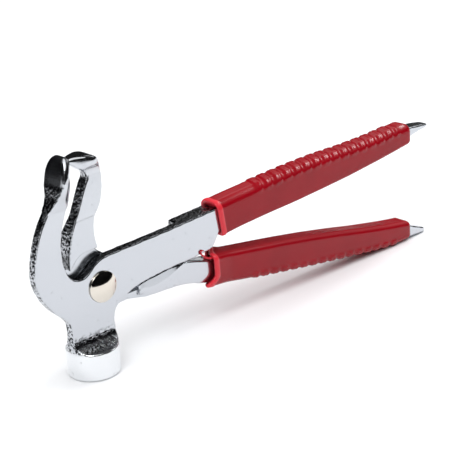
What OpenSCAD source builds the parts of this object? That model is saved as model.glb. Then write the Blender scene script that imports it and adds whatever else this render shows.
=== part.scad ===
// Hammer pliers: a striking hammer and a pair of beaked pincers forged as two lapped levers.
// The tool stands on its striking face and on the end of its lower grip.
// X runs from the hammer to the handles, Y through the thickness (front face at low Y), Z up.
// Outlines are [x, z] points in mm, and curve() rounds the stretches between them.

/* [Hammer] */
// Diameter of the striking face
face_d = 25; // [24:0.5:26]
// Height of the plain cylinder of the hammer
hammer_h = 13.6; // [12:0.2:15]
// Chamfer round the striking face
face_chamfer = 0.6; // [0.3:0.1:1]
// Width of the flat neck above the hammer
neck_w = 24.2; // [23:0.2:25]

/* [Levers] */
// Thickness of the front lever's plate
front_t = 5; // [4.8:0.1:5]
// Thickness of the rear lever's lapped plate
rear_t = 4.95; // [4.6:0.05:5]
// Running gap between the two lapped plates
lap_gap = 0.05; // [0.04:0.01:0.1]
// Thickness of the right jaw above its base
jaw_t = 6; // [5.4:0.1:6.4]
// Widest part of the beaks, across the tool
beak_w = 16; // [15:0.5:17]

/* [Pivot] */
// Diameter of the rivet's shank
shank_d = 8; // [7:0.5:9]
// Running clearance on the radius in the jaw lever
shank_gap = 0.05; // [0.02:0.01:0.1]
// Diameter of the domed rivet head
head_d = 15; // [14:0.5:16]
// Height of the domed rivet head
head_h = 3; // [2.6:0.1:3.4]
// Diameter of the peened tail
tail_d = 11.5; // [11:0.5:13]
// Height of the peened tail
tail_h = 1.4; // [1:0.1:1.8]

/* [Grips] */
// Thickness of the sleeve on the flat sides
grip_wall = 1.5; // [1.2:0.1:1.8]
// Distance between two ribs
rib_pitch = 6.84; // [6.6:0.02:7]
// Height of a rib above the groove beside it
rib_h = 0.7; // [0.4:0.1:0.8]

/* [Hidden] */

steps = 5;             // points that curve() puts between two outline points
through = 60;          // blocks this long reach right through a lever
front_y = -3;          // front face of both levers
lap_y = front_y + front_t;
rear_y = lap_y + lap_gap + rear_t;
step_x = 55;           // the front lever is full thickness past this point
ramp_x = [23, 31];     // the rear lever's front face slopes up to full thickness between these
pivot = [7, 41];
hub_r = 17;            // round lap of the rear lever
head_rim = 0.7;        // upright edge under the rivet's dome
tail_rim = 0.3;
blade_y = (front_y + rear_y) / 2 - 1;  // middle of the handles' bare ends
grip_fit = 0.04;       // play between a sleeve and its handle
tip_gap = 0.15;        // the closed beaks' distance
tip_x = -4.7;          // where the beaks meet
left_root = 83.2;      // a beak swells above its root
left_top = 107.2;
right_root = 95.2;
right_length = 17.6;   // the right beak's length, along X
lap_slope = 18.4;      // the rear lever's plate slopes back to the thinner jaw at this angle
rib_count = 15;
rib_start = 106;       // first rib's place along the handle
grip_end = 214;        // the upper sleeve narrows from here to its closed end
grip_end_low = 212;
mouth_flare = 1.4;     // the lower sleeve's mouth stands this far off in front
chrome = [0.84, 0.86, 0.88];
nickel = [0.80, 0.76, 0.70];
pvc_red = [0.78, 0.07, 0.12];

// One point of a curve that passes through its points
function spline(a, b, c, d, t) =
    0.5 * (2 * b + (c - a) * t + (2 * a - 5 * b + 4 * c - d) * t * t
           + (3 * b - a - 3 * c + d) * t * t * t);
function curve(p) = let (n = len(p) - 1) concat(
    [for (i = [0:n - 1], s = [0:steps - 1])
        spline(p[max(i - 1, 0)], p[i], p[i + 1], p[min(i + 2, n)], s / steps)],
    [p[n]]);
function arc(centre, r, a0, a1, n = 16) =
    [for (i = [0:n]) let (a = a0 + (a1 - a0) * i / n) centre + r * [cos(a), sin(a)]];
function reversed(p) = [for (i = [len(p) - 1:-1:0]) p[i]];
function raised(p, h) = [for (q = p) [q[0], q[1] + h]];
// Height of a line of points at x
function along(p, x, i = 0) =
    (x <= p[i + 1][0] || i == len(p) - 2)
        ? p[i][1] + (p[i + 1][1] - p[i][1]) * (x - p[i][0]) / (p[i + 1][0] - p[i][0])
        : along(p, x, i + 1);

// An [x, z] outline given thickness from y0 to y1
module slab(points, y0, y1)
    translate([0, y1, 0]) rotate([90, 0, 0]) linear_extrude(y1 - y0) polygon(points);

// ---- front lever: hammer, left jaw and upper handle ----
left_edge = [[-neck_w / 2, 24], [-12.6, 28.5], [-15.5, 32.3], [-19.4, 36], [-22.6, 39.8], [-25.6, 44.8],
    [-27.6, 50], [-28.4, 55], [-27.6, 61.5], [-26.4, 66.5], [-24.4, 72.5], [-21.6, 78.3], [-18, 83.6]];
left_back = [[-18, 83.6], [-14.2, 88.6], [-12.4, 94], [-11.2, 99], [-9.9, 103], [-8.6, 105.8],
    [-7.2, 107], [-5.7, 106.7]];
left_inner = [[-4.8, 102.8], [-4.9, 99.5], [-4.4, 94.5], [-5.9, 87.8], [-9, 80.5], [-11.6, 73],
    [-12.9, 65.5], [-12.5, 57.5], [-10.9, 52.4]];
crotch = [[-10.9, 52.4], [-9.8, 50.6], [-7.2, 48.7], [-3.4, 48], [-0.3, 49.1], [2.6, 51.6], [5.6, 53.6],
    [10, 54.9], [20, 55.5], [32, 55.9], [46, 56.5], [61, 57.4], [76, 58.3]];
arm_under = [[74, 39.4], [67, 38.1], [59, 37.7], [50, 37.5], [40, 36.8], [29.5, 35.5], [22.5, 33.4],
    [17, 30.8], [13.4, 27.8], [neck_w / 2, 24]];
upper_core_top = [[76, 58.3], [90, 60.2], [110, 62], [130, 63.3], [150, 64], [170, 64.1], [190, 64.1],
    [208, 64]];
upper_core_low = [[78.2, 45.6], [84, 46.6], [105, 47.7], [125, 48.7], [145, 50.1], [165, 51.6], [185, 53.7],
    [204, 56]];
upper_blade_top = [[208, 64], [216, 64.4], [225, 63.9], [233.6, 62.8]];
upper_blade_low = [[204, 56], [213, 58.2], [223, 60.2], [233.6, 61.3]];

front_outline = concat(
    [[-neck_w / 2, 16]], curve(left_edge), curve(left_back),
    [[tip_x - tip_gap / 2, 105.5]], curve(left_inner), curve(crotch),
    [[78.2, 58.6], [78.2, 45.6]], curve(arm_under), [[neck_w / 2, 16]]);
upper_handle = concat(
    [[step_x, 37.9]], curve([[59, 37.7], [67, 38.1], [74, 39.4]]), curve(upper_core_low),
    curve(upper_blade_low), reversed(curve(upper_blade_top)), reversed(curve(upper_core_top)),
    reversed(curve([[step_x, 57.05], [61, 57.4], [76, 58.3]])));

// Half width of a beak against the distance from its tip, as parts of its widest half and its length
left_half = [[0, 0.34], [0.04, 0.56], [0.1, 0.74], [0.18, 0.87], [0.3, 0.97], [0.43, 1], [0.57, 0.93],
    [0.7, 0.77], [0.84, 0.55], [1, 0.36]];
right_half = [[0, 0.16], [0.08, 0.3], [0.2, 0.46], [0.36, 0.63], [0.5, 0.73], [0.64, 0.78], [0.76, 0.73],
    [0.88, 0.56], [1, 0.38]];
module beak_egg(half, length) {
    side = curve([for (q = half) [length * q[0], beak_w / 2 * q[1]]]);
    polygon(concat(side, [for (q = reversed(side)) [q[0], -q[1]]]));
}

// The two hollows that thin a beak to a shell outside its jaw's half thickness, front and back
module beak_coves(half_t, r, length)
    for (side = [-1, 1]) translate([0, side * (r + half_t), 0]) {
        cylinder(r = r, h = length, center = true, $fn = 72);
        translate([0, -r, -length / 2]) cube([3 * r, 2 * r, length]);
    }

module left_beak() {
    mid_y = front_y + front_t / 2;
    cove_r = 6.2;
    lean = 14;
    translate([0, mid_y, 0]) intersection() {
        slab(concat(curve(left_back), [[tip_x - tip_gap / 2, 105.5]], curve([for (i = [0:4]) left_inner[i]])),
             -beak_w / 2, beak_w / 2);
        translate([-through / 2, 0, left_top]) rotate([0, 90, 0])
            linear_extrude(through) beak_egg(left_half, left_top - left_root);
        difference() {
            translate([-through / 2, -beak_w / 2, left_root]) cube([through, beak_w, through]);
            translate([-2.6, 0, 94.5]) rotate([0, lean, 0]) beak_coves(front_t / 2, cove_r, through);
        }
    }
}

// Hammer cylinder with its hollow shoulders up to the flat neck
module hammer_head() {
    cove_r = 6.6;
    difference() {
        union() {
            cylinder(d1 = face_d - 2 * face_chamfer, d2 = face_d, h = face_chamfer, $fn = 96);
            translate([0, 0, face_chamfer])
                cylinder(d = face_d, h = hammer_h + cove_r - face_chamfer, $fn = 96);
        }
        for (y = [front_y - cove_r, lap_y + cove_r])
            translate([0, y, hammer_h + cove_r]) {
                rotate([0, 90, 0]) cylinder(r = cove_r, h = through, center = true, $fn = 96);
                // beyond the hollow a narrow ledge stays inside the cylinder's rim
                translate([-through / 2, y < 0 ? -face_d : 0, -cove_r]) cube([through, face_d, face_d]);
            }
    }
}

// Plan of a handle's bare end: it narrows from the full thickness to a rounded tip
module blade_plan(length, root_w, end_w, y_mid) {
    end_r = 2.2;
    narrows = -14;
    polygon(concat([[-through / 2, y_mid - root_w / 2], [narrows, y_mid - root_w / 2]],
        arc([length - end_r, y_mid - end_w / 2 + end_r], end_r, -90, 0, 6),
        arc([length - end_r, y_mid + end_w / 2 - end_r], end_r, 0, 90, 6),
        [[narrows, y_mid + root_w / 2], [-through / 2, y_mid + root_w / 2]]));
}

module hammer_lever() {
    full_t = rear_y - front_y;
    color(chrome) difference() {
        union() {
            hammer_head();
            slab(front_outline, front_y, lap_y);
            left_beak();
            intersection() {
                slab(upper_handle, front_y, rear_y);
                union() {
                    translate([step_x, front_y, 30]) cube([160, full_t, through]);
                    translate([220, 0, 40]) linear_extrude(through) blade_plan(13.6, full_t, 7, blade_y);
                }
            }
        }
        translate([pivot[0], 0, pivot[1]]) rotate([90, 0, 0])
            cylinder(d = shank_d, h = through, center = true, $fn = 64);
    }
}

// ---- rear lever: right jaw and lower handle ----
right_inner = [[-9.6, 53], [-9.5, 57], [-8.5, 63.5], [-6.3, 71.5], [-1.9, 80.5], [1.9, 89], [4.6, 94.2]];
right_hook = [[4.6, 94.2], [4, 96.4], [0.9, 98.6], [-2.2, 101.1], [-4.4, 102.6]];
right_top = [[tip_x + tip_gap / 2, 104.4], [-2.6, 105], [0, 105.2], [3, 105.1], [6.6, 104.6], [9.8, 103],
    [11.6, 99.8], [12.6, 94.8], [12.2, 88], [11, 82.6], [9.4, 79.2], [6.9, 75.6], [5.8, 71.6], [5.7, 65.6],
    [6.8, 60.2]];
shoulder = [[6.8, 60.1], [0.6, 60], [-3, 59.3], [-6, 57.2], [-9.6, 53]];
lap_top = [[6.8, 60.2], [9.4, 57.2], [13.4, 54], [19, 49], [28, 44], [38, 40.6], [47, 38.2], [54, 37.1]];
pocket = [[18.5, 26.9], [21, 29.5], [25.5, 31.6], [30.2, 32.7], [33.5, 31.7], [39, 31.9], [45.5, 33.2],
    [50.5, 35], [54, 37.1]];
lower_visible_top = [[54, 37.1], [59, 36.7], [71, 33.2]];
lower_core_top = [[71, 33.2], [80, 31.3], [100, 28.4], [120, 25.4], [140, 22.3], [160, 19.1], [180, 15.8],
    [200, 12.4], [208, 11]];
lower_visible_low = [[18.5, 26.9], [28, 27.6], [40, 27.1], [50, 26.6], [58, 25.4], [64, 23.5], [72, 21.4]];
lower_core_low = [[72, 21.4], [85, 19], [100, 16.4], [120, 13.2], [140, 10.2], [160, 7.4], [180, 4.8],
    [200, 2.5]];
lower_blade_top = [[208, 11], [216, 8.2], [224, 4.9], [230.6, 2.5]];
lower_blade_low = [[200, 2.5], [210, 1.9], [220, 1.1], [230.6, 0.3]];

module right_beak() {
    cove_r = 5.8;
    lean = 92;
    intersection() {
        slab(concat(curve([for (i = [0:8]) right_top[i]]), [[6.2, 91.5]], curve(right_hook)),
             -beak_w / 2, beak_w / 2);
        translate([tip_x + tip_gap / 2, 0, 80]) linear_extrude(through) beak_egg(right_half, right_length);
        difference() {
            translate([-through / 2, -beak_w / 2, right_root - cove_r]) cube([through, beak_w, through]);
            translate([4, 0, right_root]) rotate([0, lean, 0]) beak_coves(jaw_t / 2, cove_r, through);
        }
    }
}

module jaw_lever() {
    full_t = rear_y - front_y;
    lap_front = lap_y + lap_gap;
    lap_end = ramp_x[0] - 8;
    core_end = 213;
    color(chrome) difference() {
        union() {
            // lapped plate with its round hub; its back slopes down to the jaw's own thickness
            difference() {
                slab(concat(curve(lap_top), reversed(curve(pocket)), arc(pivot, hub_r, -50, -207, 28),
                     curve(right_inner), [[5, 76]]), lap_front, rear_y);
                translate([0, front_y + jaw_t, 77]) rotate([lap_slope, 0, 0])
                    translate([-through, 0, -through]) cube(2 * through);
            }
            // right jaw and its base
            slab(concat(curve(right_inner), curve(right_hook), curve(right_top), curve(shoulder)),
                 front_y, front_y + jaw_t);
            right_beak();
            // lower handle, full thickness
            intersection() {
                slab(concat(curve(pocket), curve(lower_visible_top), curve(lower_core_top),
                     curve(lower_blade_top), reversed(curve(lower_blade_low)), reversed(curve(lower_core_low)),
                     reversed(curve(lower_visible_low))), front_y, rear_y);
                union() {
                    // the front face slopes back to the lapped plate before it reaches the hub
                    linear_extrude(through) polygon([[ramp_x[0], lap_front], [ramp_x[1], front_y],
                        [core_end, front_y], [core_end, rear_y], [lap_end, rear_y], [lap_end, lap_front]]);
                    translate([218, 0, 0]) linear_extrude(through) blade_plan(12.6, full_t, 6.6, blade_y);
                }
            }
        }
        translate([pivot[0], 0, pivot[1]]) rotate([90, 0, 0])
            cylinder(d = shank_d + 2 * shank_gap, h = through, center = true, $fn = 64);
    }
}

// ---- rivet ----
// A dome of height h on a foot of radius r and an upright rim, its axis along -Y
module dome(r, h, rim) {
    dome_h = h - rim;
    ball_r = (r * r + dome_h * dome_h) / (2 * dome_h);
    rotate([90, 0, 0]) rotate_extrude($fn = 96)
        polygon(concat([[0, 0], [r, 0], [r, rim]],
            [for (i = [1:10]) let (a = asin(r / ball_r) * (1 - i / 10))
                [ball_r * sin(a), h - ball_r + ball_r * cos(a)]]));
}
module pivot_rivet() {
    color(nickel) translate([pivot[0], 0, pivot[1]]) union() {
        translate([0, front_y, 0]) dome(head_d / 2, head_h, head_rim);
        translate([0, rear_y + lap_gap, 0]) mirror([0, 1, 0]) dome(tail_d / 2, tail_h, tail_rim);
        translate([0, rear_y + lap_gap, 0]) rotate([90, 0, 0])
            cylinder(d = shank_d, h = rear_y + lap_gap - front_y, $fn = 64);
    }
}

// ---- grips ----
// A rounded section of a sleeve: flat front and back, round top and bottom
function section(x, low, top, y0, y1, r_low, r_top) = concat(
    [for (a = [180:22.5:270]) [x, y0 + r_low + r_low * cos(a), low + r_low + r_low * sin(a)]],
    [for (a = [270:22.5:360]) [x, y1 - r_low + r_low * cos(a), low + r_low + r_low * sin(a)]],
    [for (a = [0:22.5:90]) [x, y1 - r_top + r_top * cos(a), top - r_top + r_top * sin(a)]],
    [for (a = [90:22.5:180]) [x, y0 + r_top + r_top * cos(a), top - r_top + r_top * sin(a)]]);
module loft(sections) {
    n = len(sections[0]);
    m = len(sections);
    polyhedron(points = [for (s = sections) for (p = s) p],
        faces = concat([[for (i = [0:n - 1]) i]], [[for (i = [n - 1:-1:0]) (m - 1) * n + i]],
            [for (j = [0:m - 2], i = [0:n - 1])
                [j * n + i, (j + 1) * n + i, (j + 1) * n + (i + 1) % n, j * n + (i + 1) % n]]));
}
upper_grip_low = [[77, 43.7], [90, 44.9], [110, 46.2], [130, 47.1], [150, 48.5], [170, 50.1], [190, 52.3],
    [205, 54.2], [215, 55.6], [217.6, 56.6]];
upper_grip_top = [[77, 62], [90, 63], [110, 64.3], [130, 65.4], [150, 66], [170, 65.7], [190, 66.1],
    [205, 67.1], [214, 67.8], [217.6, 65.8]];
lower_grip_low = [[72, 18.7], [85, 16.8], [100, 14.4], [120, 11.3], [140, 8.2], [160, 5.4], [180, 2.6],
    [200, 0.3], [207, 0], [213.5, 0], [216.4, 0.5]];
lower_grip_top = [[72, 36.2], [85, 34], [100, 31.7], [120, 28.6], [140, 25.2], [160, 21.3], [180, 17.1],
    [200, 13.4], [212, 12.1], [216.4, 11]];
function ramp(x, x0, x1) = min(1, max(0, (x - x0) / (x1 - x0)));
// A rib's swell at x, between 0 and 1
function rib(x, first) = (x < first - rib_pitch || x > first + rib_count * rib_pitch) ? 0
    : 0.5 - 0.5 * cos(360 * (x - first) / rib_pitch);

module upper_grip() {
    y0 = front_y - grip_wall;
    y1 = rear_y + grip_wall;
    stations = concat([77, 80, 84, 92], [for (i = [-1:rib_count * 2]) rib_start + i * rib_pitch / 2],
        [grip_end, 216.2, 217.6]);
    color(pvc_red) difference() {
        loft([for (x = stations)
            let (end = ramp(x, grip_end, 217.6), top = along(upper_grip_top, x) - rib_h)
            section(x, along(upper_grip_low, x), top + rib_h * rib(x, rib_start),
                    y0 + end, y1 - end, 1.8, 4.2 - end)]);
        slab(concat([[70, 37], [76.4, 41]], raised(curve(upper_core_low), -grip_fit),
                 raised(curve(upper_blade_low), -grip_fit), reversed(raised(curve(upper_blade_top), grip_fit)),
                 reversed(raised(curve(upper_core_top), grip_fit)), [[70, 58.2]]),
             front_y - grip_fit, rear_y + grip_fit);
    }
}
module lower_grip() {
    y0 = front_y - grip_wall;
    y1 = rear_y + grip_wall;
    stations = concat([72, 76, 80, 92], [for (i = [-1:rib_count * 2]) rib_start + i * rib_pitch / 2],
        [grip_end_low, 214.6, 216.4]);
    color(pvc_red) difference() {
        loft([for (x = stations)
            let (mouth = mouth_flare * (1 - ramp(x, 72, 86)), end = ramp(x, grip_end_low, 216.4),
                 low = along(lower_grip_low, x) + rib_h)
            section(x, low - rib_h * rib(x, rib_start), along(lower_grip_top, x),
                    y0 - mouth + end, y1 - end, 2, 3.2)]);
        slab(concat([[66, 23]], raised(curve(lower_core_low), -grip_fit),
                 raised(curve(lower_blade_low), -grip_fit), reversed(raised(curve(lower_blade_top), grip_fit)),
                 reversed(raised(curve(lower_core_top), grip_fit)), [[66, 34.7]]),
             front_y - grip_fit, rear_y + grip_fit);
        // the mouth of this sleeve is stretched and stands off the steel
        slab([[70, 21], [77, 20.6], [82, 22], [82, 30], [76, 34.6], [70, 35.4]], front_y - 1.3, rear_y + 0.3);
    }
}

hammer_lever();
jaw_lever();
pivot_rivet();
upper_grip();
lower_grip();
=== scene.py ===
import math

import bmesh
import bpy
import numpy as np
from mathutils import Matrix, Vector, noise


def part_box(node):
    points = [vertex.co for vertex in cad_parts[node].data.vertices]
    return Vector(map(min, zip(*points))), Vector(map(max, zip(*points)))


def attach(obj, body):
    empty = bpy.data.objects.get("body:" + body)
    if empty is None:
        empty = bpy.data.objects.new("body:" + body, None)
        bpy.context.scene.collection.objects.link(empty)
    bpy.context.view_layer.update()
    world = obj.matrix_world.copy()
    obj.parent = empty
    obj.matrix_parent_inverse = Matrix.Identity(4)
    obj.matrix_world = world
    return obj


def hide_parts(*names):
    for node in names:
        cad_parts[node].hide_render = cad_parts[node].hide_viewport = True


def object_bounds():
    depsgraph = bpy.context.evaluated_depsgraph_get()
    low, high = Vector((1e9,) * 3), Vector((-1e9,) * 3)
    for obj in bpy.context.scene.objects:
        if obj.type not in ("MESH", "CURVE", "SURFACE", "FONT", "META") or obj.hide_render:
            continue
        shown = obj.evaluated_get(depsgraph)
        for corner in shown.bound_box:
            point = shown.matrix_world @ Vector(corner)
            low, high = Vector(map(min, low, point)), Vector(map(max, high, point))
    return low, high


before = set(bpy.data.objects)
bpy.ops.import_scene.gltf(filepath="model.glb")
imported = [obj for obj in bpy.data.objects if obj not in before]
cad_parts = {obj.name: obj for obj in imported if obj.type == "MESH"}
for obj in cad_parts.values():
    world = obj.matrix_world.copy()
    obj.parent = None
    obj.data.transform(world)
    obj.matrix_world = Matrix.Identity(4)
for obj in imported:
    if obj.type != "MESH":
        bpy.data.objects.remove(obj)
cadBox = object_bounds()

mm = 0.001


def linearColour(hexText):
    # sRGB hex to the linear colour that the shaders want
    parts = [int(hexText[i:i + 2], 16) / 255 for i in (1, 3, 5)]
    return tuple(c / 12.92 if c <= 0.04045 else ((c + 0.055) / 1.055) ** 2.4 for c in parts) + (1.0,)


def addNode(tree, kind, settings=None, links=None, **attributes):
    # one node: attributes on the node, settings on its sockets, links from other nodes' outputs
    node = tree.nodes.new(kind)
    for name, value in attributes.items():
        setattr(node, name, value)
    for socket, value in (settings or {}).items():
        node.inputs[socket].default_value = value
    for socket, source in (links or {}).items():
        tree.links.new(source, node.inputs[socket])
    return node


def newMaterial(name):
    material = bpy.data.materials.new(name)
    material.use_nodes = True
    material.node_tree.nodes.clear()
    return material, material.node_tree


def smoothStep(x, low, high):
    # 0 below low, 1 above high, and a soft rise between them
    t = np.clip((x - low) / (high - low), 0, 1)
    return t * t * (3 - 2 * t)


def stretch(x, starts, full, fades, gone):
    # 1 along a stretch and 0 outside it, with soft ends
    return smoothStep(x, starts, full) * (1 - smoothStep(x, fades, gone))


def grain(points, size, seed):
    # smooth noise between -1 and 1 whose lumps are about size mm
    return np.array([noise.noise(Vector(p / size) + Vector((seed, 0, 0))) for p in points])


def readPoints(mesh):
    flat = np.empty(len(mesh.vertices) * 3, np.float32)
    mesh.vertices.foreach_get("co", flat)
    return flat.reshape(-1, 3).astype(float) / mm


def writePoints(mesh, points):
    # kept inside the CAD model's box, whatever the surface texture adds
    low = np.array(cadBox[0]) / mm
    high = np.array(cadBox[1]) / mm
    mesh.vertices.foreach_set("co", (np.clip(points, low, high) * mm).astype(np.float32).ravel())
    mesh.update()


def readNormals(mesh):
    flat = np.empty(len(mesh.vertices) * 3, np.float32)
    mesh.vertex_normals.foreach_get("vector", flat)
    return flat.reshape(-1, 3).astype(float)


def storeMask(mesh, name, values):
    # a number per point that a material reads with an Attribute node
    layer = mesh.attributes.new(name, "FLOAT", "POINT")
    layer.data.foreach_set("value", np.asarray(values, np.float32))


def smoothShade(mesh):
    mesh.polygons.foreach_set("use_smooth", [True] * len(mesh.polygons))
    mesh.update()


def meshFrom(name, points, faces):
    # a mesh from points in mm
    mesh = bpy.data.meshes.new(name)
    mesh.from_pydata([Vector(p) * mm for p in points], [], faces)
    mesh.validate()
    return mesh


def joinRings(rings, around, closed=False):
    # four-sided faces between neighbouring rings of points; closed joins the last ring to the first
    faces = []
    for k in range(rings if closed else rings - 1):
        start = k * around
        following = (k + 1) % rings * around
        for i in range(around):
            j = (i + 1) % around
            faces.append((start + i, start + j, following + j, following + i))
    return faces


def capRings(rings, around):
    # one face over each end of a row of rings
    return [list(range(around - 1, -1, -1)), [(rings - 1) * around + i for i in range(around)]]


def addPiece(name, mesh, body, node, material):
    piece = bpy.data.objects.new(name, mesh)
    bpy.context.scene.collection.objects.link(piece)
    mesh.materials.clear()
    mesh.materials.append(material)
    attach(piece, body)
    if node:
        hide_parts(node)
    print(name, len(mesh.polygons), "faces")


steelLook = {
    "chrome": "#C6C9CE",      # decorative chrome is a slightly blue mirror
    "buffedPaintedBrighter": "#ECEEF0",      # the turned hammer and the jaws are buffed, and painted brighter as a painted reflection
    "pits": "#17181B",        # the plate is thin and dull in the pits; this dark colour is also the painted shade in the crotch, on the arm, in the hollows above the hammer and under the arm
    "flatRoughness": (0.13, 0.22),
    "edgeRoughness": 0.09,
    "polishMm": 2.6,          # soft unevenness that the polishing wheel leaves
    "polishBump": {"Strength": 0.035, "Distance": 0.3 * mm},
    "gritMm": 1.2,            # belt grit on the edges; the real grit is finer, drawn coarse enough to show
    "gritBump": {"Strength": 1.0, "Distance": 0.5 * mm},
    "gritPits": {"From Min": 0.45, "From Max": 0.52, "To Min": 1.0, "To Max": 0.0},
    "fleckMm": 2.2,           # sparse dull flecks in the flats
    "flecks": {"From Min": 0.66, "From Max": 0.72, "To Min": 0.0, "To Max": 0.22},
}


def chromePlate():
    # Chrome plate on drop-forged steel: the polished flats mirror softly, the ground edges glitter
    look = steelLook
    material, tree = newMaterial("chromePlateOnForgedSteel")
    place = addNode(tree, "ShaderNodeTexCoord").outputs["Object"]
    # the levers' meshes say how far a point is a ground edge, darkened with painted shade, or buffed and
    # painted brighter as a painted reflection
    edge = addNode(tree, "ShaderNodeAttribute", attribute_name="groundEdge").outputs["Fac"]
    thin = addNode(tree, "ShaderNodeAttribute", attribute_name="thinPlate").outputs["Fac"]
    buffedPaintedBrighter = addNode(tree, "ShaderNodeAttribute", attribute_name="buffedAndPaintedBright").outputs["Fac"]
    polish = addNode(tree, "ShaderNodeTexNoise", {"Scale": 1 / (look["polishMm"] * mm), "Detail": 3.0},
                     {"Vector": place}).outputs["Fac"]
    grit = addNode(tree, "ShaderNodeTexNoise", {"Scale": 1 / (look["gritMm"] * mm), "Detail": 4.0},
                   {"Vector": place}).outputs["Fac"]
    fleck = addNode(tree, "ShaderNodeTexNoise", {"Scale": 1 / (look["fleckMm"] * mm), "Detail": 5.0},
                    {"Vector": place}).outputs["Fac"]
    pits = addNode(tree, "ShaderNodeMapRange", look["gritPits"], {"Value": grit})
    flecks = addNode(tree, "ShaderNodeMapRange", look["flecks"], {"Value": fleck})
    pitted = addNode(tree, "ShaderNodeMath", links={0: pits.outputs["Result"], 1: edge}, operation="MULTIPLY")
    # painted shade in the crotch, on the arm, in the hollows and under the arm, joined with the real dull
    # flecks
    flecksAndShade = addNode(tree, "ShaderNodeMath", links={0: thin, 1: flecks.outputs["Result"]}, operation="MAXIMUM")
    pitsFlecksAndShade = addNode(tree, "ShaderNodeMath", links={0: pitted.outputs[0], 1: flecksAndShade.outputs[0]},
                   operation="MAXIMUM")
    plate = addNode(tree, "ShaderNodeMix",
                    {"A": linearColour(look["chrome"]), "B": linearColour(look["buffedPaintedBrighter"])},
                    {"Factor": buffedPaintedBrighter}, data_type="RGBA")
    # the dark colour goes into the pits, the flecks and the painted shade
    colour = addNode(tree, "ShaderNodeMix", {"B": linearColour(look["pits"])},
                     {"Factor": pitsFlecksAndShade.outputs[0], "A": plate.outputs["Result"]}, data_type="RGBA")
    low, high = look["flatRoughness"]
    flatRough = addNode(tree, "ShaderNodeMapRange", {"To Min": low, "To Max": high}, {"Value": polish})
    rough = addNode(tree, "ShaderNodeMix", {"B": look["edgeRoughness"]},
                    {"Factor": edge, "A": flatRough.outputs["Result"]})
    polishBump = addNode(tree, "ShaderNodeBump", look["polishBump"], {"Height": polish})
    gritHeight = addNode(tree, "ShaderNodeMath", links={0: grit, 1: edge}, operation="MULTIPLY")
    gritBump = addNode(tree, "ShaderNodeBump", look["gritBump"],
                       {"Height": gritHeight.outputs[0], "Normal": polishBump.outputs["Normal"]})
    shader = addNode(tree, "ShaderNodeBsdfPrincipled", {"Metallic": 1.0},
                     {"Base Color": colour.outputs["Result"], "Roughness": rough.outputs["Result"],
                      "Normal": gritBump.outputs["Normal"]})
    addNode(tree, "ShaderNodeOutputMaterial", links={"Surface": shader.outputs["BSDF"]})
    return material


rivetLook = {
    "nickel": "#DBD4C9",
    "roughness": (0.06, 0.13),
    "swirlMm": 1.8,           # marks of the polishing mop
    "swirlBump": {"Strength": 0.03, "Distance": 0.2 * mm},
}


def nickelPlate():
    # Bright nickel on an upset rivet: a warmer mirror than the chrome, with faint swirls
    look = rivetLook
    material, tree = newMaterial("brightNickelRivet")
    place = addNode(tree, "ShaderNodeTexCoord").outputs["Object"]
    swirl = addNode(tree, "ShaderNodeTexNoise", {"Scale": 1 / (look["swirlMm"] * mm), "Detail": 2.0},
                    {"Vector": place}).outputs["Fac"]
    low, high = look["roughness"]
    rough = addNode(tree, "ShaderNodeMapRange", {"To Min": low, "To Max": high}, {"Value": swirl})
    bump = addNode(tree, "ShaderNodeBump", look["swirlBump"], {"Height": swirl})
    shader = addNode(tree, "ShaderNodeBsdfPrincipled",
                     {"Base Color": linearColour(look["nickel"]), "Metallic": 1.0},
                     {"Roughness": rough.outputs["Result"], "Normal": bump.outputs["Normal"]})
    addNode(tree, "ShaderNodeOutputMaterial", links={"Surface": shader.outputs["BSDF"]})
    return material


vinylLook = {
    "red": "#9C0416",
    "deepRed": "#880413",
    # painted light: the paler colour of the thin lip and of the inside of the mouth
    "lipLight": "#D8303C",
    "roughness": (0.2, 0.27),
    "gloss": {"IOR": 1.5, "Specular IOR Level": 0.3},
    "cloudMm": 14.0,          # slow changes of depth in the pigment
    "skinMm": 1.4,            # the mould's skin; the real one is finer, drawn as coarse as it needs to show
    "skinBump": {"Strength": 0.05, "Distance": 0.1 * mm},
}


def plasticisedPvc():
    # Moulded soft PVC: a wet-looking red skin, deeper in places, with painted light: paler where the thin lip
    # lets light through and just inside the mouth
    look = vinylLook
    material, tree = newMaterial("softRedPvc")
    place = addNode(tree, "ShaderNodeTexCoord").outputs["Object"]
    lipLight = addNode(tree, "ShaderNodeAttribute", attribute_name="thinLip").outputs["Fac"]
    cloud = addNode(tree, "ShaderNodeTexNoise", {"Scale": 1 / (look["cloudMm"] * mm), "Detail": 2.0},
                    {"Vector": place}).outputs["Fac"]
    skin = addNode(tree, "ShaderNodeTexNoise", {"Scale": 1 / (look["skinMm"] * mm), "Detail": 2.0},
                   {"Vector": place}).outputs["Fac"]
    body = addNode(tree, "ShaderNodeMix",
                   {"A": linearColour(look["red"]), "B": linearColour(look["deepRed"])},
                   {"Factor": cloud}, data_type="RGBA")
    colour = addNode(tree, "ShaderNodeMix", {"B": linearColour(look["lipLight"])},
                     {"Factor": lipLight, "A": body.outputs["Result"]}, data_type="RGBA")
    low, high = look["roughness"]
    rough = addNode(tree, "ShaderNodeMapRange", {"To Min": low, "To Max": high}, {"Value": cloud})
    bump = addNode(tree, "ShaderNodeBump", look["skinBump"], {"Height": skin})
    shader = addNode(tree, "ShaderNodeBsdfPrincipled", look["gloss"],
                     {"Base Color": colour.outputs["Result"], "Roughness": rough.outputs["Result"],
                      "Normal": bump.outputs["Normal"]})
    addNode(tree, "ShaderNodeOutputMaterial", links={"Surface": shader.outputs["BSDF"]})
    return material


chrome = chromePlate()
nickel = nickelPlate()
redPvc = plasticisedPvc()
print("materials ready")


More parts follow.
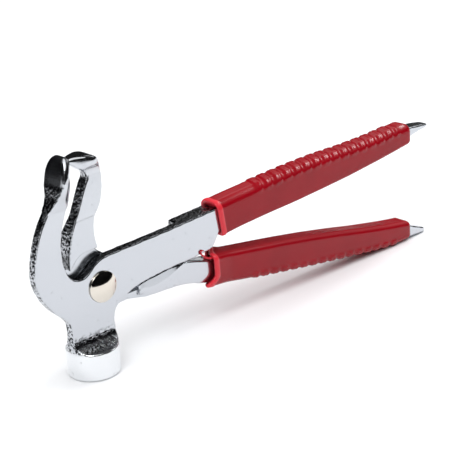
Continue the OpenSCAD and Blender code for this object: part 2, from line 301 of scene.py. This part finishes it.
# both levers, in mm; a stretch is given as where it starts, is full, fades and has gone
forging = {
    "voxel": 0.42,            # mesh size
    "softening": 7,           # passes that round every edge, as tumbling and plating do
    "beaks": (91, 97),        # from here up the beaks were forged and polished round
    "beakSoftening": 26,
    "flush": {"x": (24, 30, 54, 60), "z": (29, 31, 39, 42)},   # ground flush beside each other
    "flushKept": 0.8,         # so much of the sharp corners is left there
    "planes": (-3.0, 2.0, 2.05, 3.0, 7.0),   # faces across the thickness that stay dead flat
    "planeWithin": 0.12,
    "planeFacing": 0.97,
    "edgeFacing": (0.45, 0.85),   # a surface that faces less straight ahead than this is a ground edge
    "gritMm": 1.1,
    "gritDepth": 0.08,
    "waveMm": 3.2,
    "waveDepth": 0.10,
    # painted shade: the plate is painted dark deep in the crotch, on the arm and in the hollows above the
    # hammer, where shade falls
    "crotch": {"x": (-12, -9, 8, 14), "z": (46, 48, 58, 62)},
    "crotchShade": 0.72,
    "armTop": {"x": (8, 14, 70, 78), "z": (53, 55, 62, 66)},
    "armTopShade": 0.45,
    "frontBright": (-0.9, -0.6),  # surfaces that face the front stay bright in those two
    "hollow": (13.8, 15, 20, 21.5),
    "hollowDepth": (3.1, 3.6),    # in front of or behind the hammer's axis
    "hollowShade": 0.22,
    "turned": (12, 16),       # the hammer is turned and buffed up to here, and painted brighter there as a painted reflection
    "turnedBefore": 14,
    # the jaws are painted brighter towards the top, a painted reflection
    "jawBuffedAndBright": (58, 84),
    "jawBuffAndBright": 0.12,
}


def inZone(points, zone):
    return stretch(points[:, 0], *zone["x"]) * stretch(points[:, 2], *zone["z"])


def forgeFrom(nodeName, extras=()):
    # a fine even mesh of a CAD lever; extra closed shapes merge into it
    build = bmesh.new()
    build.from_mesh(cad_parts[nodeName].data)
    for extra in extras:
        build.from_mesh(extra)
    joined = bpy.data.meshes.new("joined")
    build.to_mesh(joined)
    build.free()
    work = bpy.data.objects.new("work", joined)
    bpy.context.scene.collection.objects.link(work)
    remesh = work.modifiers.new("remesh", "REMESH")
    remesh.mode = "VOXEL"
    remesh.voxel_size = forging["voxel"] * mm
    mesh = bpy.data.meshes.new_from_object(work.evaluated_get(bpy.context.evaluated_depsgraph_get()))
    bpy.data.objects.remove(work)
    return mesh


def soften(mesh, points, weights, passes):
    # each point moves towards the middle of its neighbours, which rounds corners
    ends = np.empty(len(mesh.edges) * 2, np.int32)
    mesh.edges.foreach_get("vertices", ends)
    first, second = ends[0::2], ends[1::2]
    count = len(points)
    neighbours = np.bincount(first, minlength=count) + np.bincount(second, minlength=count)
    for _ in range(passes):
        for k in range(3):
            total = np.bincount(first, points[second, k], count)
            total += np.bincount(second, points[first, k], count)
            points[:, k] += 0.5 * weights * (total / neighbours - points[:, k])
    return points


# below the arm the lower handle carries a shallow hollow that leans back a little
ledge = {
    "front": [(27.6, 31.9), (30.2, 32.6), (33.5, 31.7), (39, 31.9), (45.5, 33.2), (50.5, 35), (53, 36.3)],
    "roof": [(27.6, 34.9), (29.5, 35.35), (40, 36.65), (50, 37.35), (53, 37.45)],   # just under the arm
    "y": (-2.96, 2.6),
    "rise": 9.0,              # mm up for each mm back
    "rooted": 2.5,            # reaches so far down into the lever
    "columns": 40,
    "rows": 12,
    "reach": (26, 54),        # faces aren't straightened inside it
    "below": 0.6,
    "over": 0.05,
    "thin": 0.13,             # painted shade: the hollow under the arm is painted a little darker
    "thinAlong": (28, 29, 50, 53),
    "thinAbove": 0.1,
}


def ledgeLines(x):
    return np.interp(x, *zip(*ledge["front"])), np.interp(x, *zip(*ledge["roof"]))


def ledgeWedge():
    y0, y1 = ledge["y"]
    depths = np.linspace(0, y1 - y0, ledge["rows"] + 1)
    columns = np.linspace(ledge["front"][0][0], ledge["front"][-1][0], ledge["columns"])
    points = []
    for x in columns:
        front, roof = ledgeLines(x)
        points += [(x, y0 + depth, min(front + ledge["rise"] * depth, roof)) for depth in depths]
        points += [(x, y1, front - ledge["rooted"]), (x, y0, front - ledge["rooted"])]
    around = len(depths) + 2
    faces = joinRings(len(columns), around) + capRings(len(columns), around)
    return meshFrom("ledge", points, faces)


# painted shade: how dark the plate is painted in the crotch, on the arm, in the hollows above the hammer and
# under the arm
def thinPlating(points, normals, front, roof):
    x, y, z = points.T
    away = smoothStep(normals[:, 1], *forging["frontBright"])
    crotch = forging["crotchShade"] * inZone(points, forging["crotch"]) * away
    armTop = forging["armTopShade"] * inZone(points, forging["armTop"]) * away
    deep = smoothStep(np.abs(y), *forging["hollowDepth"])
    hollow = forging["hollowShade"] * stretch(z, *forging["hollow"]) * deep
    inPatch = (z > front + ledge["thinAbove"]) & (z < roof + ledge["over"])
    patch = ledge["thin"] * stretch(x, *ledge["thinAlong"]) * inPatch
    return np.maximum.reduce([crotch, armTop, hollow, patch])


def finishLever(mesh, seed, shaped):
    # rounds the forging's corners, roughens its edges and marks where it is ground, where shade is painted
    # on, and where it is buffed and painted brighter
    points = readPoints(mesh)
    kept = forging["flushKept"] * inZone(points, forging["flush"])
    points = soften(mesh, points, 1 - kept, forging["softening"])
    points = soften(mesh, points, smoothStep(points[:, 2], *forging["beaks"]), forging["beakSoftening"])
    writePoints(mesh, points)
    normals = readNormals(mesh)
    facing = np.abs(normals[:, 1])
    x, y, z = points.T
    front, roof = ledgeLines(x)
    start, end = ledge["reach"]
    inLedge = (x > start) & (x < end) & (z > front - ledge["below"]) & (z < roof + ledge["over"])
    for plane in forging["planes"]:
        flat = (facing > forging["planeFacing"]) & (np.abs(y - plane) < forging["planeWithin"]) & ~inLedge
        points[flat, 1] = plane
    edge, shape = shaped(points, normals, 1 - smoothStep(facing, *forging["edgeFacing"]))
    grit = grain(points, forging["gritMm"], seed) * forging["gritDepth"]
    waves = grain(points, forging["waveMm"], seed + 9) * forging["waveDepth"]
    points += normals * (edge * (grit + waves) + shape)[:, None]
    writePoints(mesh, points)
    storeMask(mesh, "groundEdge", edge)
    storeMask(mesh, "thinPlate", thinPlating(points, normals, front, roof))
    # buffed and painted brighter, a painted reflection: the hammer, and faintly the jaws towards the top
    turned = (1 - smoothStep(z, *forging["turned"])) * (x < forging["turnedBefore"])
    storeMask(mesh, "buffedAndPaintedBright", np.maximum(turned, forging["jawBuffAndBright"] * smoothStep(z, *forging["jawBuffedAndBright"])))
    smoothShade(mesh)
    return mesh


hammerLever = {
    "seed": 3.0,
    "turned": (13.2, 14.2),   # the hammer is turned and its face polished: no grit
    "hollow": (13.4, 14.4, 20.2, 21.6),   # the hollows above it are as forged
    "hollowDepth": 2.3,
    "hollowGrit": 0.5,
    "beakSmooth": (91, 95),   # the beak's outer face is smoother near its tip
    "beakGritLost": 0.95,
    "bladeFrom": 205,         # the pry blade is polished
}


def shapeHammerLever(points, normals, edge):
    size = hammerLever
    x, y, z = points.T
    turned = 1 - smoothStep(z, *size["turned"])
    hollow = stretch(z, *size["hollow"]) * (np.abs(y) > size["hollowDepth"])
    edge = np.maximum(edge * (1 - turned), size["hollowGrit"] * hollow)
    beak = smoothStep(z, *size["beakSmooth"]) * (x < 0)
    return edge * (1 - size["beakGritLost"] * beak) * (x < size["bladeFrom"]), np.zeros(len(x))


jawLever = {
    "seed": 21.0,
    "beakSmooth": (95, 99),
    "beakGritLost": 0.95,
    "tipFrom": 205,           # the wedge tip is polished
    "rubbed": {"x": (20, 73), "z": (25, 39)},   # the faces under the arm are rubbed nearly smooth
    "rubbedDepth": 2.6,       # where the lap still covers it, only this far back
    "lapEnd": 54,
    "rubbedGrit": 0.1,
    # a shallow crease crosses the front of the jaw where its upper part was bent
    "creaseHeight": 76.2,
    "creaseSlope": 0.06,
    "creaseWidth": 0.7,
    "creaseDepth": 0.09,
    "creaseFrom": (-5, -2),
    "creaseFacing": -0.9,
}


def shapeJawLever(points, normals, edge):
    size = jawLever
    x, y, z = points.T
    edge = edge * (1 - size["beakGritLost"] * smoothStep(z, *size["beakSmooth"])) * (x <= size["tipFrom"])
    x0, x1 = size["rubbed"]["x"]
    z0, z1 = size["rubbed"]["z"]
    rubbed = (x > x0) & (x < x1) & (z > z0) & (z < z1) & ((y < size["rubbedDepth"]) | (x > size["lapEnd"]))
    edge = np.where(rubbed, np.minimum(edge, size["rubbedGrit"]), edge)
    height = z - size["creaseHeight"] - size["creaseSlope"] * x
    crease = np.exp(-(height / size["creaseWidth"]) ** 2) * smoothStep(x, *size["creaseFrom"])
    return edge, -size["creaseDepth"] * crease * (normals[:, 1] < size["creaseFacing"])


hammerMesh = finishLever(forgeFrom("hammer_lever"), hammerLever["seed"], shapeHammerLever)
addPiece("forgedHammerLever", hammerMesh, "hammer_half", "hammer_lever", chrome)
jawMesh = finishLever(forgeFrom("jaw_lever", [ledgeWedge()]), jawLever["seed"], shapeJawLever)
addPiece("forgedJawLever", jawMesh, "jaw_half", "jaw_lever", chrome)


rivet = {
    "head": {"radius": 7.5, "height": 3.0, "rim": 0.7, "soft": 0.3, "steps": 18},
    "tail": {"radius": 5.75, "height": 1.4, "rim": 0.3, "soft": 0.2, "steps": 10},
    "bevel": 0.12,
    "shankRadius": 4.0,
    "around": 128,
    "dentMm": 1.6,            # the tail was peened over by hand: shallow dents from the punch
    "dentDepth": 0.18,
    "dentSeed": 40.0,
}


def domeProfile(dome):
    # (radius, height) from the top of the dome to its foot, with a soft shoulder above the straight rim
    radius, height, soft = dome["radius"], dome["height"], dome["soft"]
    crown = height - dome["rim"]
    ball = (radius ** 2 + crown ** 2) / (2 * crown)
    widest = math.asin((radius - soft) / ball)
    line = []
    for i in range(dome["steps"] + 1):
        a = widest * i / dome["steps"]
        line.append((ball * math.sin(a), height - ball + ball * math.cos(a)))
    shoulder = line[-1][1]
    rimTop = dome["rim"] * 0.75
    for i in range(1, 6):
        a = math.pi / 2 * i / 5
        line.append((radius - soft + soft * math.sin(a), rimTop + (shoulder - rimTop) * math.cos(a)))
    return line + [(radius, rivet["bevel"]), (radius - rivet["bevel"], 0)]


def latheMesh(name, profile, around, centre):
    # profile: (radius, y) from pole to pole, turned about an axis along Y
    points = [(centre[0], profile[0][1], centre[2])]
    for radius, y in profile[1:-1]:
        for i in range(around):
            a = 2 * math.pi * i / around
            points.append((centre[0] + radius * math.cos(a), y, centre[2] + radius * math.sin(a)))
    points.append((centre[0], profile[-1][1], centre[2]))
    last = len(points) - 1
    faces = []
    for i in range(around):
        j = (i + 1) % around
        faces.append((0, 1 + i, 1 + j))
        faces.append((last, last - around + j, last - around + i))
    for face in joinRings(len(profile) - 2, around):
        faces.append(tuple(corner + 1 for corner in reversed(face)))
    return meshFrom(name, points, faces)


def rivetMesh():
    low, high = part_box("pivot_rivet")
    centre = [(low[i] + high[i]) / 2 / mm for i in range(3)]
    front = low[1] / mm + rivet["head"]["height"]
    rear = high[1] / mm - rivet["tail"]["height"]
    profile = [(radius, front - height) for radius, height in domeProfile(rivet["head"])]
    profile += [(rivet["shankRadius"], front), (rivet["shankRadius"], rear)]
    profile += [(radius, rear + height) for radius, height in reversed(domeProfile(rivet["tail"]))]
    mesh = latheMesh("rivet", profile, rivet["around"], centre)
    points = readPoints(mesh)
    onTail = smoothStep(points[:, 1], rear + 0.3, rear + 1.0)
    dents = grain(points, rivet["dentMm"], rivet["dentSeed"]) * onTail
    points[:, 1] -= rivet["dentDepth"] * np.clip(dents + 0.2, 0, 1)
    writePoints(mesh, points)
    smoothShade(mesh)
    return mesh


addPiece("nickelRivet", rivetMesh(), "hammer_half", "pivot_rivet", nickel)


upperGrip = {
    "body": "hammer_half",
    "node": "upper_grip",
    "low": [(77, 43.7), (90, 44.9), (110, 46.2), (130, 47.1), (150, 48.5), (170, 50.1), (190, 52.3),
            (205, 54.2), (215, 55.6), (217.6, 56.3)],
    "top": [(77, 62), (90, 63), (110, 64.3), (130, 65.4), (150, 66), (170, 65.7), (190, 66.1), (205, 67.1),
            (214, 67.8), (217.6, 67.2)],
    "roundLow": 1.8,
    "roundTop": 4.2,
    "ribSide": 1,             # the ribs are on the top
    "ribs": (103.5, 210),
    "gap": (1.8, 2.75, 1.45),  # from the outside to the steel: below, above, beside
    "flare": 0.0,
    "slant": 2.5,             # the mouth's lower side starts this much further back
    "tongue": 0.0,
    "skew": 0.0,
}
lowerGrip = {
    "body": "jaw_half",
    "node": "lower_grip",
    "low": [(72, 19.7), (85, 17.1), (100, 14.4), (120, 11.3), (140, 8.2), (160, 5.4), (180, 2.6), (200, 0.3),
            (207, 0), (213.5, 0), (216.4, 0.3)],
    "top": [(72, 36.2), (85, 34), (100, 31.7), (120, 28.6), (140, 25.2), (160, 21.3), (180, 17.1),
            (200, 13.4), (208, 12.1), (212, 11.5), (216.4, 11)],
    "roundLow": 2.6,
    "roundTop": 3.0,
    "ribSide": -1,            # the ribs are on the underside
    "ribs": (98, 208),
    "gap": (1.2, 2.2, 1.4),
    "flare": 1.4,             # this mouth is stretched and stands off the steel
    "slant": 0.3,
    "tongue": 6.0,            # its torn lower lip reaches forward
    "skew": 5.5,              # the back of the mouth sits this much further along the handle
}
sleeve = {                    # both sleeves, in mm
    "front": -4.5,
    "back": 8.5,
    # the rolled mouth and the rounded end need closer stations than the even run between them
    "mouthSteps": (0, 0.15, 0.4, 0.8, 1.3, 1.8, 2.3, 2.7, 3.0, 3.3, 3.7),
    "endSteps": (3.6, 3.0, 2.4, 1.8, 1.2, 0.7, 0.35, 0.12, 0),
    "evenFrom": 4.2,
    "evenTo": 4,
    "step": 0.4,
    "sides": (6, 12, 8, 12),  # faces along the underside, the back, the top and the front
    "cornerStep": 9,          # degrees
    "ribPitch": 6.84,
    "ribHeight": 0.7,
    "ribSlope": 0.3,          # mm along the handle for each mm across it
    "rowPitch": 1.9,
    "linePitch": 1.7,         # fine mould lines run along the handle before the first rib
    "lineHeight": 0.07,
    "partingDepth": 0.14,     # the two halves of the mould leave a thin line on the smooth side
    "partingWidth": 0.28,
    "partingOff": 1.4,
    "swell": 0.82,            # shares of the ribs' height
    "ridge": 0.12,
    "row": 0.16,
    "rowsFade": (3.6, 5.2),   # so far round from the middle of the ribbed side
    "ribsFade": (7.2, 9.6),
    "bead": 0.35,             # the rolled mouth stands this proud
    "beadFades": (2.2, 3.4),
    "rollRun": 1.2,           # the mouth rolls in over this length
    "rollDepth": 0.55,
    "endRun": 2.6,            # the end closes with a round edge over this length
    "endDepth": 1.9,
    "lipFades": (2.7, 3.4),   # painted light: the paler lip, outside and inside
    "lipFadesInside": (6, 12),
    # the inside of the mouth is painted paler than its shade, as painted light
    "insideLight": 0.75,
    "flareRun": 13,
    "shiftRun": 16,           # the mouth's slant and skew have gone so far along
    "innerRound": 0.6,
    "tighter": 0.9,           # the inside closes in at the end
}


def lineAt(points, x):
    # a smooth line through listed points
    xs = np.array([p[0] for p in points], float)
    ys = np.array([p[1] for p in points], float)
    plain = np.interp(x, xs, ys)
    blurred = sum(np.interp(x + d, xs, ys) for d in (-4, -2, 0, 2, 4)) / 5
    inner = stretch(x, xs[0], xs[0] + 8, xs[-1] - 10, xs[-1] - 5)
    return plain * (1 - inner) + blurred * inner


def sectionLoop(low, top, front, back, roundLow, roundTop):
    # (y, z) points round a sleeve and the outward direction at each: a rounded corner, then a straight side
    middles = np.array([(front + roundLow, low + roundLow), (back - roundLow, low + roundLow),
                        (back - roundTop, top - roundTop), (front + roundTop, top - roundTop)])
    radii = [roundLow, roundLow, roundTop, roundTop]
    loop = []
    outward = []
    for k in range(4):
        for degrees in range(180 + 90 * k, 271 + 90 * k, sleeve["cornerStep"]):
            direction = np.array((math.cos(math.radians(degrees)), math.sin(math.radians(degrees))))
            loop.append(middles[k] + radii[k] * direction)
            outward.append(direction)
        first = loop[-1]
        following = (k + 1) % 4
        end = middles[following] + radii[following] * direction
        for i in range(1, sleeve["sides"][k]):
            loop.append(first + (end - first) * i / sleeve["sides"][k])
            outward.append(direction)
    return np.array(loop), np.array(outward)


def ribPattern(x, s, grip):
    # a swell at each pitch, three fine leaning ridges to a swell, and rows along the crown
    first, last = grip["ribs"]
    phase = 2 * math.pi / sleeve["ribPitch"] * (x - first - sleeve["ribSlope"] * s)
    swell = 1 - (0.5 + 0.5 * np.cos(phase)) ** 3
    fine = (0.5 + 0.5 * np.cos(3 * phase)) ** 1.5
    crown = 1 - smoothStep(np.abs(s), *sleeve["rowsFade"])
    rows = (0.5 + 0.5 * np.cos(2 * math.pi * s / sleeve["rowPitch"])) * crown
    height = sleeve["swell"] * swell + sleeve["ridge"] * fine - sleeve["row"] * rows
    ribbed = stretch(x, first - 2, first + 3, last - 4, last)
    return height * ribbed * (1 - smoothStep(np.abs(s), *sleeve["ribsFade"]))


def sleeveSides(grip, x):
    # underside, top and front of a sleeve at a place along the handle, without the ribs
    low = float(lineAt(grip["low"], x))
    top = float(lineAt(grip["top"], x))
    if grip["ribSide"] > 0:
        top -= sleeve["ribHeight"]
    else:
        low += sleeve["ribHeight"]
    mouth = grip["low"][0][0]
    flare = grip["flare"] * (1 - float(smoothStep(x, mouth, mouth + sleeve["flareRun"])))
    return low, top, sleeve["front"] - flare


def mouthShift(grip, x, loop, low, top):
    # how far along the handle the slant, the skew and the torn lip move a section's points
    mouth = grip["low"][0][0]
    near = 1 - float(smoothStep(x, mouth, mouth + sleeve["shiftRun"]))
    y, z = loop.T
    drop = (top - z) / (top - low)
    depth = (y - sleeve["front"]) / (sleeve["back"] - sleeve["front"])
    lowFront = np.exp(-((z - low - 1.2) / 2.2) ** 2 - ((y - sleeve["front"]) / 5.0) ** 2)
    shift = near * (grip["slant"] * drop + grip["skew"] * smoothStep(depth, 0.1, 0.8))
    return shift - grip["tongue"] * lowFront * near ** 4


def fromRibs(grip, loop, outward, low, top):
    # distance round a section from the middle of its ribbed side, negative towards the front
    side, radius = (top, grip["roundTop"]) if grip["ribSide"] > 0 else (low, grip["roundLow"])
    middle = (sleeve["front"] + sleeve["back"]) / 2
    flatHalf = (sleeve["back"] - sleeve["front"]) / 2 - radius
    across = np.clip(loop[:, 0] - middle, -flatHalf, flatHalf)
    lean = np.arctan2(np.abs(outward[:, 0]), outward[:, 1] * grip["ribSide"])
    beyond = np.maximum(0, np.abs(loop[:, 1] - side) - radius)
    distance = np.abs(across) + radius * np.minimum(lean, math.pi / 2) + beyond
    return np.where(loop[:, 0] < middle, -1, 1) * distance


def outerRing(grip, x):
    mouth, end = grip["low"][0][0], grip["low"][-1][0]
    firstRib = grip["ribs"][0]
    low, top, front = sleeveSides(grip, x)
    loop, outward = sectionLoop(low, top, front, sleeve["back"], grip["roundLow"], grip["roundTop"])
    # the mouth rolls in over a bead, and the end closes with a round edge
    rolled = 1 - min(1.0, (x - mouth) / sleeve["rollRun"])
    roll = sleeve["rollDepth"] * (1 - math.sqrt(1 - rolled ** 2))
    bead = sleeve["bead"] * (1 - float(smoothStep(x - mouth, *sleeve["beadFades"])))
    closed = max(0.0, (x - (end - sleeve["endRun"])) / sleeve["endRun"])
    close = sleeve["endDepth"] * (1 - math.sqrt(max(0.0, 1 - closed ** 2)))
    s = fromRibs(grip, loop, outward, low, top)
    ribs = sleeve["ribHeight"] * ribPattern(x, s, grip)
    lines = np.cos(s * 2 * math.pi / sleeve["linePitch"]) * (1 - smoothStep(np.abs(s), 6, 8))
    lines = lines * sleeve["lineHeight"] * float(stretch(x, mouth + 4, mouth + 8, firstRib - 4, firstRib))
    fromParting = loop[:, 0] - (sleeve["front"] + sleeve["back"]) / 2 - sleeve["partingOff"]
    parting = np.exp(-(fromParting / sleeve["partingWidth"]) ** 2) * (outward[:, 1] * grip["ribSide"] < -0.9)
    parting = parting * sleeve["partingDepth"] * float(smoothStep(x, mouth + 4, mouth + 7))
    loop = loop + outward * (bead - roll - close + ribs + lines - parting)[:, None]
    return np.column_stack([x + mouthShift(grip, x, loop, low, top), loop])


def innerRing(grip, x):
    mouth, end = grip["low"][0][0], grip["low"][-1][0]
    low, top, front = sleeveSides(grip, x)
    tight = sleeve["tighter"] * float(smoothStep(x, end - 6, end - 2))
    below, above, beside = grip["gap"]
    loop, _ = sectionLoop(low + below + tight, top - above - tight, front + beside + tight,
                          sleeve["back"] - beside - tight, sleeve["innerRound"], sleeve["innerRound"])
    inset = 0.3 * (x == mouth)
    return np.column_stack([x + inset + mouthShift(grip, x, loop, low, top), loop])


def gripMesh(grip):
    mouth, end = grip["low"][0][0], grip["low"][-1][0]
    stations = list(mouth + np.array(sleeve["mouthSteps"]))
    stations += list(np.arange(mouth + sleeve["evenFrom"], end - sleeve["evenTo"], sleeve["step"]))
    stations += list(end - np.array(sleeve["endSteps"]))
    inside = stations[::-3]   # from the end back to the mouth
    rings = [outerRing(grip, x) for x in stations] + [innerRing(grip, x) for x in inside]
    # painted light: the lip and the inside of the mouth are painted paler
    lipLight = [1 - smoothStep(x - mouth, *sleeve["lipFades"]) for x in stations]
    lipLight += [sleeve["insideLight"] * (1 - smoothStep(x - mouth, *sleeve["lipFadesInside"])) for x in inside]
    around = len(rings[0])
    points = np.vstack(rings)
    mesh = meshFrom(grip["node"], points, joinRings(len(rings), around, closed=True))
    writePoints(mesh, points)
    storeMask(mesh, "thinLip", np.repeat(lipLight, around))
    smoothShade(mesh)
    return mesh


flash = {
    "line": [(71.6, -4.2, 34.8), (70, -4, 35.1), (68.6, -3.8, 35.8), (67.4, -3.65, 36.8), (66.3, -3.6, 37.7),
             (65.5, -3.6, 38.6), (65.4, -3.6, 39.6), (66.2, -3.6, 40.2), (67.2, -3.6, 39.9)],
    "width": 0.62,
    "thickness": 0.5,
    "taper": 0.55,            # so much of its width has gone at the tip
    "around": 10,
    "paleness": 0.6,
}


def flashMesh():
    # a curled shred of plastic that the mould squeezed out at the lower grip's mouth
    line = [Vector(p) for p in flash["line"]]
    around = flash["around"]
    last = len(line) - 1
    points = []
    for i, p in enumerate(line):
        along = (line[min(i + 1, last)] - line[max(i - 1, 0)]).normalized()
        wide = along.cross(Vector((0, 1, 0))).normalized()
        width = flash["width"] * (1 - flash["taper"] * i / last)
        for k in range(around):
            a = 2 * math.pi * k / around
            points.append(p + wide * (math.cos(a) * width) + Vector((0, math.sin(a) * flash["thickness"], 0)))
    mesh = meshFrom("flash", points, joinRings(len(line), around) + capRings(len(line), around))
    # painted light: the thin shred is painted paler, as light through it
    storeMask(mesh, "thinLip", [flash["paleness"]] * len(points))
    smoothShade(mesh)
    return mesh


addPiece("mouldFlash", flashMesh(), "jaw_half", None, redPvc)
for name, grip in (("ribbedUpperGrip", upperGrip), ("ribbedLowerGrip", lowerGrip)):
    addPiece(name, gripMesh(grip), grip["body"], grip["node"], redPvc)


view = {
    "place": (-0.3293, -0.4890, 0.2907),
    "turn": 0.7028,           # radians, from straight along +Y towards +X
    "dip": 0.3634,            # looking down
    "tilt": -0.0662,
    "lens": 112.0,
}


def addCamera():
    turn, dip, tilt = view["turn"], view["dip"], view["tilt"]
    right = Vector((math.cos(turn), -math.sin(turn), 0))
    forward = Vector((math.sin(turn) * math.cos(dip), math.cos(turn) * math.cos(dip), -math.sin(dip)))
    up = right.cross(forward)
    rolledRight = right * math.cos(tilt) + up * math.sin(tilt)
    rolledUp = up * math.cos(tilt) - right * math.sin(tilt)
    data = bpy.data.cameras.new("productCamera")
    data.sensor_width = 36
    data.lens = view["lens"]
    data.clip_start = 0.01
    camera = bpy.data.objects.new("productCamera", data)
    bpy.context.scene.collection.objects.link(camera)
    axes = Matrix((rolledRight, rolledUp, -forward)).transposed().to_4x4()
    camera.matrix_world = Matrix.Translation(Vector(view["place"])) @ axes
    bpy.context.scene.camera = camera


# the studio, in metres
studio = {
    "paper": "#F2F3F5",
    "velvet": "#0C0C0E",
    "floorHalf": 6,
    "backdropFar": 5.0,
    "backdrop": (-0.1, 4.0),  # its foot and its top
    "backdropSides": 48,
    "ceiling": 1.26,          # brightness of the soft ceiling
    # how far up a direction points, and how bright the room is there
    "sky": [(0.0, 0.02), (0.36, 0.03), (0.5, 0.5), (0.75, 1.0)],
    "flags": [("backFlag", (-0.35, 0.36, 0.03), (0.68, 0, 0), (0, 0, 0.78)),
              ("leftFlag", (-0.45, -0.1, 0.115), (0, 0.7, 0), (0, 0, 0.43)),
              ("frontFlag", (-0.3, -0.3, 0.012), (1.3, 0, 0), (0, 0, 0.3)),
              ("roofFlag", (0.04, -0.32, 0.25), (0.21, 0, 0), (0, 0.44, 0))],
    "softboxes": [
        {"name": "rightSoftbox", "place": (0.74, -0.08, 0.78), "target": (0.14, 0, 0.05), "size": (0.6, 0.1),
         "watts": 3.6, "mirrored": True},
        {"name": "farSoftbox", "place": (1.3, 1.5, 1.2), "target": (1.1, 1.3, 0), "size": (1.2, 1.2),
         "watts": 7.0, "mirrored": False},   # lights the paper far behind the tool
        {"name": "leftSoftbox", "place": (-0.55, -0.35, 0.85), "target": (0.08, 0, 0.04), "size": (0.5, 0.35),
         "watts": 3.4, "mirrored": True},
    ],
}


def addStagePiece(name, points, faces, material):
    mesh = bpy.data.meshes.new(name)
    mesh.from_pydata(points, [], faces)
    mesh.materials.append(material)
    piece = bpy.data.objects.new(name, mesh)
    bpy.context.scene.collection.objects.link(piece)
    return piece


def addFloor():
    # Matt background paper: an even pale ground with no shine of its own
    material, tree = newMaterial("mattPaperSweep")
    shader = addNode(tree, "ShaderNodeBsdfPrincipled",
                     {"Base Color": linearColour(studio["paper"]), "Roughness": 0.8,
                      "Specular IOR Level": 0.2})
    addNode(tree, "ShaderNodeOutputMaterial", links={"Surface": shader.outputs["BSDF"]})
    far = studio["floorHalf"]
    corners = [(-far, -far, 0), (far, -far, 0), (far, far, 0), (-far, far, 0)]
    addStagePiece("paperFloor", corners, [(0, 1, 2, 3)], material)


def addBackdrop():
    # Lit paper far behind, out of the metal's reflections so that the chrome keeps its dark horizon
    material, tree = newMaterial("litPaper")
    glow = addNode(tree, "ShaderNodeEmission", {"Color": linearColour(studio["paper"]), "Strength": 1.0})
    addNode(tree, "ShaderNodeOutputMaterial", links={"Surface": glow.outputs["Emission"]})
    far = studio["backdropFar"]
    sides = studio["backdropSides"]
    points = []
    for z in studio["backdrop"]:
        for i in range(sides):
            a = 2 * math.pi * i / sides
            points.append((far * math.cos(a), far * math.sin(a), z))
    backdrop = addStagePiece("paperBackdrop", points, joinRings(2, sides), material)
    backdrop.visible_glossy = False
    backdrop.visible_diffuse = False
    backdrop.visible_transmission = False
    backdrop.visible_shadow = False


def addFlags():
    # Black velvet on cards that only the metal's reflections see: it gives the chrome its dark bands
    material, tree = newMaterial("blackVelvet")
    shader = addNode(tree, "ShaderNodeBsdfDiffuse", {"Color": linearColour(studio["velvet"])})
    addNode(tree, "ShaderNodeOutputMaterial", links={"Surface": shader.outputs["BSDF"]})
    for name, *edges in studio["flags"]:
        corner, side, rise = [Vector(edge) for edge in edges]
        points = [corner, corner + side, corner + side + rise, corner + rise]
        flag = addStagePiece(name, points, [(0, 1, 2, 3)], material)
        flag.visible_camera = False
        flag.visible_diffuse = False
        flag.visible_transmission = False
        flag.visible_shadow = False


def addWorld():
    # a bright soft ceiling over a dark room, so that polished metal shows both
    world = bpy.data.worlds.new("studioRoom")
    bpy.context.scene.world = world
    world.use_nodes = True
    tree = world.node_tree
    tree.nodes.clear()
    direction = addNode(tree, "ShaderNodeTexCoord").outputs["Generated"]
    parts = addNode(tree, "ShaderNodeSeparateXYZ", links={"Vector": direction})
    ramp = addNode(tree, "ShaderNodeValToRGB", links={"Fac": parts.outputs["Z"]})
    stops = ramp.color_ramp.elements
    while len(stops) < len(studio["sky"]):
        stops.new(0.5)
    for stop, (height, grey) in zip(stops, studio["sky"]):
        stop.position = height
        stop.color = (grey, grey, grey, 1)
    glow = addNode(tree, "ShaderNodeBackground", {"Strength": studio["ceiling"]},
                   {"Color": ramp.outputs["Color"]})
    addNode(tree, "ShaderNodeOutputWorld", links={"Surface": glow.outputs["Background"]})


def addSoftbox(box):
    data = bpy.data.lights.new(box["name"], "AREA")
    data.shape = "RECTANGLE"
    data.size, data.size_y = box["size"]
    data.energy = box["watts"]
    lamp = bpy.data.objects.new(box["name"], data)
    bpy.context.scene.collection.objects.link(lamp)
    lamp.visible_glossy = box["mirrored"]
    lamp.location = box["place"]
    lamp.rotation_euler = (Vector(box["target"]) - Vector(box["place"])).to_track_quat("-Z", "Y").to_euler()


addCamera()
addFloor()
addBackdrop()
addFlags()
addWorld()
for box in studio["softboxes"]:
    addSoftbox(box)
bpy.context.scene.view_settings.view_transform = "Standard"
print("studio ready")
